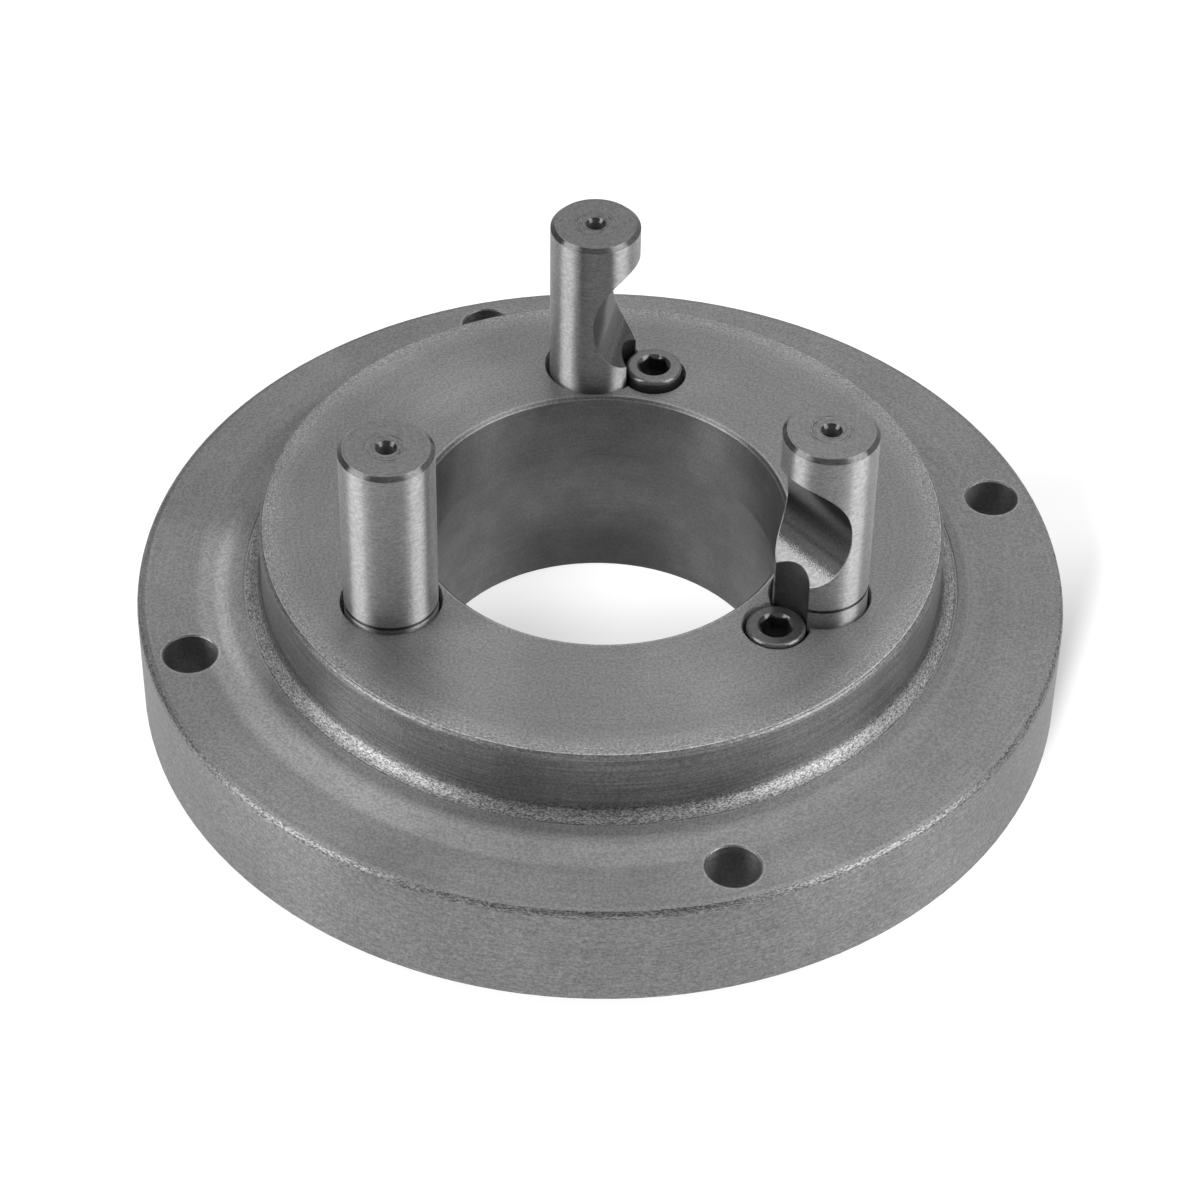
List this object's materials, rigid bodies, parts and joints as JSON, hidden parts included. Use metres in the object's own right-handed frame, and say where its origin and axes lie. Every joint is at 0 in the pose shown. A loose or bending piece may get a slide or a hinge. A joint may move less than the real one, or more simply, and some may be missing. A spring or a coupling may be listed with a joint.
{
  "type": "camlock lathe backplate",
  "caption": "Round steel lathe backplate with a chuck register behind, a raised hub with a spindle taper in front, and notched cam pins held by socket screws.",
  "frame": {"origin": "centre of the register's flat face, which the plate rests on, on the plate's axis", "axes": "+Z along the plate's axis from the register to the spindle side, +Y through the first cam pin"},
  "size_m": [0.16, 0.16, 0.0752],
  "materials": {
    "plate_steel": "turned and lightly ground, satin, with fine feed marks",
    "pin_steel": "hardened and ground, satin",
    "screw_steel": "black oxide, lightly oiled"
  },
  "bodies": {
    "root": {"backplate": "plate_steel", "cam_pin_1": "pin_steel", "cam_pin_2": "pin_steel", "cam_pin_3": "pin_steel", "lock_screw_1": "screw_steel", "lock_screw_2": "screw_steel", "lock_screw_3": "screw_steel"}
  },
  "joints": []
}
